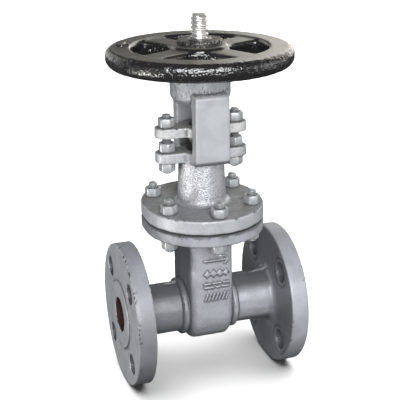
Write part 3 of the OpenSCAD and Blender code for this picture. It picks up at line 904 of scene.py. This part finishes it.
class Paint:
    """Node tree of one material; sizes are in millimetres on the piece."""

    def __init__(self, name, metallic, roughness):
        self.material = bpy.data.materials.new(name)
        self.material.use_nodes = True
        self.tree = self.material.node_tree
        self.tree.nodes.clear()
        inputs = {"Metallic": metallic, "Roughness": roughness}
        self.shader = self.node("ShaderNodeBsdfPrincipled", inputs)
        output = self.node("ShaderNodeOutputMaterial")
        self.tree.links.new(self.shader.outputs[0], output.inputs["Surface"])
        where = self.node("ShaderNodeTexCoord")
        self.place = where.outputs["Object"]
        normal = self.node("ShaderNodeSeparateXYZ", {0: where.outputs["Normal"]})
        self.facing_up = normal.outputs["Z"]

    def node(self, kind, inputs=None, **settings):
        made = self.tree.nodes.new(kind)
        for key, value in settings.items():
            setattr(made, key, value)
        for socket, value in (inputs or {}).items():
            self.feed(made.inputs[socket], value)
        return made

    def feed(self, socket, value):
        if isinstance(value, bpy.types.NodeSocket):
            self.tree.links.new(value, socket)
        elif hasattr(value, "__len__") and len(value) == 3 and socket.type == "RGBA":
            socket.default_value = (*value, 1)
        else:
            socket.default_value = value

    def noise(self, size, detail, stretch=(1, 1, 1)):
        where = self.node("ShaderNodeMapping", {"Vector": self.place, "Scale": stretch}).outputs[0]
        inputs = {"Vector": where, "Scale": 1 / (size * MM), "Detail": detail}
        return self.node("ShaderNodeTexNoise", inputs).outputs["Fac"]

    def between(self, value, low, high, start=0.0, end=1.0):
        inputs = {"Value": value, "From Min": low, "From Max": high, "To Min": start, "To Max": end}
        return self.node("ShaderNodeMapRange", inputs, interpolation_type="SMOOTHSTEP").outputs[0]

    def maths(self, operation, a, b):
        return self.node("ShaderNodeMath", {0: a, 1: b}, operation=operation).outputs[0]

    def times(self, a, b):
        return self.maths("MULTIPLY", a, b)

    def mix(self, factor, a, b):
        inputs = {"Factor": factor, 6: a, 7: b}
        return self.node("ShaderNodeMix", inputs, data_type="RGBA").outputs[2]

    def bump(self, height, depth):
        inputs = {"Height": height, "Strength": 1.0, "Distance": depth * MM}
        return self.node("ShaderNodeBump", inputs).outputs[0]

    def facts(self):
        """Casting roughness, outer edges, hollows with painted shade, and rust, as surface_facts()
        stored them.
        """
        attribute = self.node("ShaderNodeAttribute", attribute_name="facts")
        parts = self.node("ShaderNodeSeparateColor", {0: attribute.outputs["Color"]})
        return parts.outputs[0], parts.outputs[1], parts.outputs[2], attribute.outputs["Alpha"]

    def crevice(self, reach):
        """0 in the open and 1 deep in a corner."""
        shade = self.node("ShaderNodeAmbientOcclusion", {"Distance": reach * MM}, samples=6)
        return self.between(shade.outputs["AO"], 0.25, 0.85, 1.0, 0.0)

    def finish(self, colour, normal=None, roughness=None, metallic=None):
        self.feed(self.shader.inputs["Base Color"], colour)
        for socket, value in (("Normal", normal), ("Roughness", roughness), ("Metallic", metallic)):
            if value is not None:
                self.feed(self.shader.inputs[socket], value)
        return self.material


DUST_AND_SHADE = (0.17, 0.166, 0.155)
WHEEL_DUST_AND_SHEEN = (0.14, 0.136, 0.118)
BARE_IRON = (0.03, 0.028, 0.027)
RUST_LIGHT, RUST_DARK = (0.055, 0.017, 0.010), (0.012, 0.005, 0.004)
ENAMEL_DARK, ENAMEL_LIGHT = (0.008, 0.008, 0.009), (0.015, 0.014, 0.014)
WORN_BRIGHT = (0.32, 0.31, 0.29)
OILED_DARK, OILED_LIGHT = (0.02, 0.0195, 0.018), (0.06, 0.058, 0.054)
GRAPHITE_DARK, GRAPHITE_LIGHT = (0.006, 0.006, 0.007), (0.03, 0.03, 0.032)


def shade_of(colour, factor):
    return tuple(channel * factor for channel in colour)


def casting_paint(name, colour):
    """Silver paint over a casting: grainy, with painted shade underneath, in hollows and in
    crevices, darker tops from dust and painted shade, chipped at edges.
    """
    paint = Paint(name, 0.2, 0.45)
    rough, edge, hollow, rust = paint.facts()
    mottle = paint.noise(16, 3)
    speck = paint.noise(1.2, 1)
    lump = paint.noise(3.6, 2)
    streak = paint.noise(2.0, 2, (1, 1, 0.25))
    light, dull = shade_of(colour, 1.05), shade_of(colour, 0.92)
    tone = paint.mix(paint.between(mottle, 0.35, 0.65), light, dull)
    tone = paint.mix(paint.between(rough, 0.85, 1.0), tone, shade_of(colour, 1.25))
    # Painted shade: surfaces that face down are darkened.
    painted_shade = paint.between(paint.facing_up, -0.1, -0.75)
    tone = paint.mix(paint.times(painted_shade, 0.5), tone, shade_of(colour, 0.35))
    # Up-facing smoother castings go darker: part dust, part painted shade.
    middle_rough_zone = paint.times(paint.between(rough, 0.2, 0.35), paint.between(rough, 0.9, 0.6))
    dust_and_painted_light = paint.times(paint.between(paint.facing_up, 0.6, 0.95), middle_rough_zone)
    tone = paint.mix(paint.times(dust_and_painted_light, 0.7), tone, DUST_AND_SHADE)
    pits = paint.times(paint.between(speck, 0.40, 0.32), rough)
    tone = paint.mix(paint.times(pits, 0.7), tone, shade_of(colour, 0.25))
    stained = paint.times(paint.between(rough, 0.6, 0.8), paint.between(rough, 0.97, 0.9))
    stains = paint.times(paint.between(streak, 0.44, 0.38), stained)
    tone = paint.mix(paint.times(stains, 0.7), tone, shade_of(colour, 0.25))
    # Painted shade in hollows and where the piece's map marks it, weaker on coarse castings.
    hollow = paint.times(hollow, paint.between(rough, 0.75, 0.9, 0.85, 0.3))
    tone = paint.mix(hollow, tone, shade_of(colour, 0.2))
    # Painted shade in crevices.
    tone = paint.mix(paint.times(paint.crevice(16), 0.6), tone, shade_of(colour, 0.22))
    chip = paint.times(edge, paint.between(paint.noise(3.2, 4), 0.53, 0.57))
    chip = paint.times(chip, paint.between(paint.noise(24, 2), 0.55, 0.61))
    chip = paint.times(chip, paint.between(rough, 0.06, 0.16))
    tone = paint.mix(chip, tone, BARE_IRON)
    crust = paint.mix(paint.noise(2.5, 4), RUST_LIGHT, RUST_DARK)
    tone = paint.mix(rust, tone, crust)
    height = paint.maths("ADD", paint.times(speck, 1.3), paint.times(lump, 0.7))
    height = paint.times(height, paint.maths("ADD", rough, 0.03))
    matt = paint.between(rough, 0.8, 1.0, 0.45, 0.38)
    bare = paint.maths("MAXIMUM", rust, dust_and_painted_light)
    matt = paint.maths("MAXIMUM", matt, paint.times(bare, 0.8))
    painted = paint.maths("SUBTRACT", 1.0, bare)
    shine = paint.times(painted, paint.between(rough, 0.8, 1.0, 0.2, 0.65))
    return paint.finish(tone, paint.bump(height, 0.5), matt, shine)


def wheel_enamel():
    """Gloss black enamel over a rough casting, lighter on top from dust and painted sheen, and with
    a few worn specks.
    """
    paint = Paint("wheel_enamel", 0.0, 0.2)
    paint.feed(paint.shader.inputs["IOR"], 1.75)
    rough = paint.facts()[0]
    lump = paint.noise(2.4, 1)
    fine = paint.noise(1.2, 2)
    tone = paint.mix(paint.noise(20, 2), ENAMEL_DARK, ENAMEL_LIGHT)
    # Smooth tops go lighter: part dust, part painted sheen.
    dust_and_painted_light = paint.times(paint.between(paint.facing_up, 0.75, 0.98), paint.between(rough, 0.9, 0.3))
    cloud = paint.between(paint.noise(26, 4), 0.3, 0.7, 0.55, 0.9)
    tone = paint.mix(paint.times(dust_and_painted_light, cloud), tone, WHEEL_DUST_AND_SHEEN)
    worn = paint.times(paint.between(paint.noise(1.6, 3), 0.72, 0.76), rough)
    tone = paint.mix(worn, tone, WORN_BRIGHT)
    height = paint.maths("ADD", lump, paint.times(fine, 0.15))
    height = paint.times(height, paint.maths("ADD", rough, 0.05))
    matt = paint.maths("ADD", paint.between(fine, 0.3, 0.7, 0.08, 0.16), paint.times(dust_and_painted_light, 0.25))
    return paint.finish(tone, paint.bump(height, 0.7), matt)


def turned_steel(name, colour, roughness):
    """Machined steel with fine turning marks, faint stains and painted shade in its crevices."""
    paint = Paint(name, 0.85, roughness)
    marks = paint.noise(1.3, 2, (0.12, 0.12, 1.0))
    stain = paint.noise(9, 3)
    tone = paint.mix(paint.between(stain, 0.4, 0.7), colour, shade_of(colour, 0.72))
    # Painted shade in crevices.
    tone = paint.mix(paint.times(paint.crevice(3), 0.8), tone, shade_of(colour, 0.12))
    bumps = paint.bump(marks, 0.05)
    matt = paint.between(marks, 0.3, 0.7, roughness * 0.8, roughness * 1.3)
    return paint.finish(tone, bumps, matt)


def plated_steel(name, colour):
    """Grey fastener steel, dusted with paint, with painted shade where it meets its seat."""
    paint = Paint(name, 0.45, 0.4)
    cloud = paint.noise(5, 3)
    speck = paint.noise(1.2, 2)
    tone = paint.mix(paint.between(cloud, 0.35, 0.65), shade_of(colour, 1.1), shade_of(colour, 0.8))
    # Painted shade where it meets its seat.
    tone = paint.mix(paint.times(paint.crevice(5), 0.85), tone, shade_of(colour, 0.12))
    return paint.finish(tone, paint.bump(speck, 0.12), paint.between(cloud, 0.3, 0.7, 0.34, 0.48))


def worn_dark_steel():
    """Dark rough nut, rubbed bright in specks along its edges."""
    paint = Paint("worn_dark_steel", 0.7, 0.42)
    edge = paint.facts()[1]
    speck = paint.noise(1.5, 3)
    tone = paint.mix(paint.noise(4, 3), OILED_DARK, OILED_LIGHT)
    bright = paint.times(paint.between(speck, 0.50, 0.60), paint.maths("ADD", edge, 0.15))
    tone = paint.mix(bright, tone, WORN_BRIGHT)
    return paint.finish(tone, paint.bump(speck, 0.6), paint.between(speck, 0.3, 0.7, 0.5, 0.3))


def graphite(name, size, stretch, depth):
    """Matt graphite sheet or braid."""
    paint = Paint(name, 0.0, 0.7)
    yarn = paint.noise(size, 2, stretch)
    tone = paint.mix(yarn, GRAPHITE_DARK, GRAPHITE_LIGHT)
    return paint.finish(tone, paint.bump(yarn, depth), paint.between(yarn, 0.3, 0.7, 0.6, 0.8))


# One silver paint in three copies; the body's darker copy is painted shade, for the light falling
# off lower down.
shaded_body_silver = casting_paint("shaded_body_paint", (0.365, 0.378, 0.415))
bonnet_silver = casting_paint("bonnet_paint", (0.41, 0.425, 0.45))
gland_silver = casting_paint("gland_paint", (0.50, 0.51, 0.515))
black_enamel = wheel_enamel()
bright_steel = turned_steel("stem_steel", (0.90, 0.89, 0.86), 0.34)
seat_steel = turned_steel("trim_steel", (0.60, 0.60, 0.59), 0.3)
sleeve_steel = turned_steel("sleeve_iron", (0.42, 0.41, 0.38), 0.34)
bronze = turned_steel("bronze", (0.58, 0.40, 0.17), 0.3)
fastener_steel = plated_steel("fastener_steel", (0.44, 0.46, 0.475))
dark_steel = worn_dark_steel()
gasket_black = graphite("gasket_graphite", 1.5, (1, 1, 1), 0.1)
packing_black = graphite("packing_graphite", 2.2, (1, 1, 0.6), 0.4)


# ---- Pieces ----

def place(piece, body, slot, material, *nodes):
    """Puts a finished piece on its body in the place of CAD nodes."""
    piece.data.materials.clear()
    piece.data.materials.append(material)
    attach(piece, body)
    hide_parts(*nodes)
    return piece


def dress(material, *nodes):
    """Gives CAD nodes that stay as they are their material."""
    for node in nodes:
        mesh = frame["nodes"][node].data
        mesh.materials.clear()
        mesh.materials.append(material)


RAISED = (0, 0, 1)  # room above a node's box for what stands off it
# Body and bonnet carry their maps of painted shade and joint line.
place(
    cast_piece(
        "body_casting", body_field, body_low, body_high + RAISED, step=0.9, keep=0.3,
        wave=body_wave, rough=body_rough, rust=body_rust, painted_shade=body_shade_and_joint_line,
    ),
    "valve_body", "casting_paint", shaded_body_silver, "body",
)
place(
    cast_piece(
        "bonnet_casting", bonnet_field, bonnet_low, bonnet_high, step=0.9, keep=0.4,
        wave=bonnet_wave, rough=bonnet_rough, painted_shade=bonnet_shade_and_joint_line,
    ),
    "valve_body", "casting_paint", bonnet_silver, "bonnet",
)
wheel_piece = place(
    cast_piece(
        "handwheel_casting", wheel_field, wheel_low, wheel_high + RAISED, step=0.9, keep=0.45,
        wave=wheel_wave, rough=wheel_rough,
    ),
    "wheel", "wheel_enamel", black_enamel, "handwheel",
)
place(
    cast_piece(
        "gland_flange_casting", gland_field, gland_low, gland_high, step=0.7, keep=0.5,
        wave=gland_wave, rough=evenly(0.6),
    ),
    "gland", "gland_paint", gland_silver, "gland_flange",
)
place(
    cast_piece(
        "wheel_nut_slotted", wheel_nut_field, *limits("wheel_nut"), step=0.6, keep=0.6,
        wave=wheel_nut_wave, rough=evenly(0.8),
    ),
    "wheel", "dark_steel", dark_steel, "wheel_nut",
)
stem_rod = place(stem_piece(), "stem_and_gate", "stem_steel", bright_steel, "stem")

# How far each nut has come to rest round its stud, in degrees
UPPER_TURNS = (58, 11, 32, 38, 40, 53)
LOWER_TURNS = (20, 30, 50, 46, 32, 5)
GLAND_SIDE_NUTS = (
    ("gland_nut_left", 39, "left_gland_nut"), ("gland_nut_right", 42, "right_gland_nut"),
    ("lug_nut_upper_left", 25, "valve_body"), ("lug_nut_upper_right", 17, "valve_body"),
    ("lug_nut_lower_left", 41, "valve_body"), ("lug_nut_lower_right", 36, "valve_body"),
)
nuts = [(f"bonnet_nut_upper_{i + 1}", turn, "valve_body") for i, turn in enumerate(UPPER_TURNS)]
nuts += [(f"bonnet_nut_lower_{i + 1}", turn, "valve_body") for i, turn in enumerate(LOWER_TURNS)]
for node, turn, body in (*nuts, *GLAND_SIDE_NUTS):
    piece = bevelled(hexagon_nut(f"{node}_hexagon", node, turn), NUT_BEVEL)
    place(piece, body, "fastener_steel", fastener_steel, node)
studs = [f"bonnet_stud_{i + 1}" for i in range(6)] + ["gland_stud_left", "gland_stud_right"]
for node in studs:
    place(stud(f"{node}_threaded", node), "valve_body", "fastener_steel", fastener_steel, node)

dress(seat_steel, "seat_ring_inlet", "seat_ring_outlet", "wedge", "sleeve_retainer", "wheel_key")
dress(bronze, "backseat_bushing", "thrust_washer_lower", "thrust_washer_upper")
dress(sleeve_steel, "yoke_sleeve")
dress(dark_steel, "gland_follower")
dress(gasket_black, "bonnet_gasket")

packing_rings = [f"packing_ring_{i + 1}" for i in range(5)]
packing_bottom, packing_top = limits(packing_rings[0])[0][2], limits(packing_rings[-1])[1][2]
for node in packing_rings:
    piece = packing_ring(f"{node}_braided", node)
    place(piece, "valve_body", "packing_graphite", packing_black, node)
    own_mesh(piece)


# ---- Stage, lights and camera ----
# Places are in metres from here on, except the camera's.

FLOOR_HALF = 40.0
FLOOR_DROP = 0.0002


def area_light(name, energy, size, place_at, aim_at, colour=(1, 1, 1)):
    """Soft box of size (wide, high) that faces aim_at."""
    light = bpy.data.lights.new(name, "AREA")
    light.energy, light.color = energy, colour
    light.shape, light.size, light.size_y = "RECTANGLE", size[0], size[1]
    holder = add(name, light)
    holder.location = place_at
    direction = Vector(aim_at) - Vector(place_at)
    holder.rotation_euler = direction.to_track_quat("-Z", "Y").to_euler()
    return holder


def sun_light(name, strength, spread):
    """Even light from straight above, softened over spread degrees."""
    light = bpy.data.lights.new(name, "SUN")
    light.energy, light.angle = strength, math.radians(spread)
    return add(name, light)


def backdrop_band(tree):
    """Dim surroundings with a bright low band, like the white backdrop of a studio."""
    where = tree.nodes.new("ShaderNodeTexCoord")
    height = tree.nodes.new("ShaderNodeSeparateXYZ")
    tree.links.new(where.outputs["Generated"], height.inputs[0])
    level = tree.nodes.new("ShaderNodeMath")
    level.operation = "ABSOLUTE"
    tree.links.new(height.outputs["Z"], level.inputs[0])
    band = tree.nodes.new("ShaderNodeMapRange")
    band.interpolation_type = "SMOOTHSTEP"
    band_limits = {"From Min": 0.12, "From Max": 0.04, "To Min": 0.08, "To Max": 0.9}
    for socket, value in band_limits.items():
        band.inputs[socket].default_value = value
    tree.links.new(level.outputs[0], band.inputs["Value"])
    return band.outputs[0]


def floor():
    """Plain pale floor just under the valve."""
    mesh = bpy.data.meshes.new("floor")
    corners = [(x * FLOOR_HALF, y * FLOOR_HALF, 0) for x, y in ((-1, -1), (1, -1), (1, 1), (-1, 1))]
    mesh.from_pydata(corners, [], [(0, 1, 2, 3)])
    plane = add("floor", mesh)
    plane.location.z = cad_box[0].z - FLOOR_DROP
    paint = Paint("floor", 0.0, 0.9)
    tone = paint.mix(paint.noise(900, 1), (0.86, 0.86, 0.86), (0.88, 0.88, 0.88))
    mesh.materials.append(paint.finish(tone))
    return plane


def light_group(name, pieces, state):
    """Collection that makes a light fall on these pieces alone, or on everything but them."""
    group = bpy.data.collections.new(name)
    for piece in pieces:
        group.objects.link(piece)
    for member in group.collection_objects:
        member.light_linking.link_state = state
    return group


ground = floor()
floor_alone = light_group("floor_alone", [ground], "INCLUDE")
model_alone = light_group("model_alone", [ground], "EXCLUDE")
centre = (0, 0, 0.18)
ground.visible_diffuse = False
ground.visible_glossy = False
pipe_centre, wheel_centre = (0, 0, 0.12), (0, 0, 0.37)
warm, warmer, cool = (1.0, 0.98, 0.95), (1.0, 0.97, 0.90), (0.93, 0.97, 1.0)
model_lights = (
    area_light("key", 37, (1.1, 1.1), (-0.20, -1.50, 0.80), centre),
    area_light("left_fill", 2.2, (0.16, 0.16), (-0.6, -0.05, 0.06), pipe_centre, warm),
    area_light("right_fill", 5, (1.0, 1.0), (1.4, -0.6, 0.5), centre),
    area_light("rear_right", 34, (2.4, 2.2), (2.0, 2.2, 1.25), centre, warmer),
    area_light("rear_left", 11, (2.0, 2.0), (-1.2, 2.8, 1.2), centre),
)
for light in model_lights:
    light.light_linking.receiver_collection = model_alone
wheel_glint = area_light(
    "wheel_glint", 13, (0.4, 0.4), (-0.93, -1.12, 0.85), wheel_centre, cool,
)
wheel_and_stem = light_group("wheel_and_stem", (wheel_piece, stem_rod), "INCLUDE")
wheel_glint.light_linking.receiver_collection = wheel_and_stem
wash = sun_light("floor_wash", 6.5, 90)
wash.light_linking.receiver_collection = floor_alone

world = bpy.data.worlds.new("studio")
world.use_nodes = True
background = world.node_tree.nodes["Background"]
background.inputs["Color"].default_value = (1.0, 0.99, 0.97, 1)
world.node_tree.links.new(backdrop_band(world.node_tree), background.inputs["Strength"])
bpy.context.scene.world = world
bpy.context.scene.view_settings.view_transform = "Standard"

camera_data = bpy.data.cameras.new("camera")
camera_data.sensor_width = 36.0
camera_data.lens = 89.45
camera = add("camera", camera_data)
bpy.context.scene.camera = camera
camera.location = Vector((-312.35, -952.51, 477.02 + AXIS_Z)) * MM
looks_along = Vector((0.29185, 0.89558, -0.33579))
upright = looks_along.to_track_quat("-Z", "Y").to_matrix()
roll = Matrix.Rotation(math.radians(-0.81), 3, "Z")
camera.rotation_euler = (upright @ roll).to_euler()
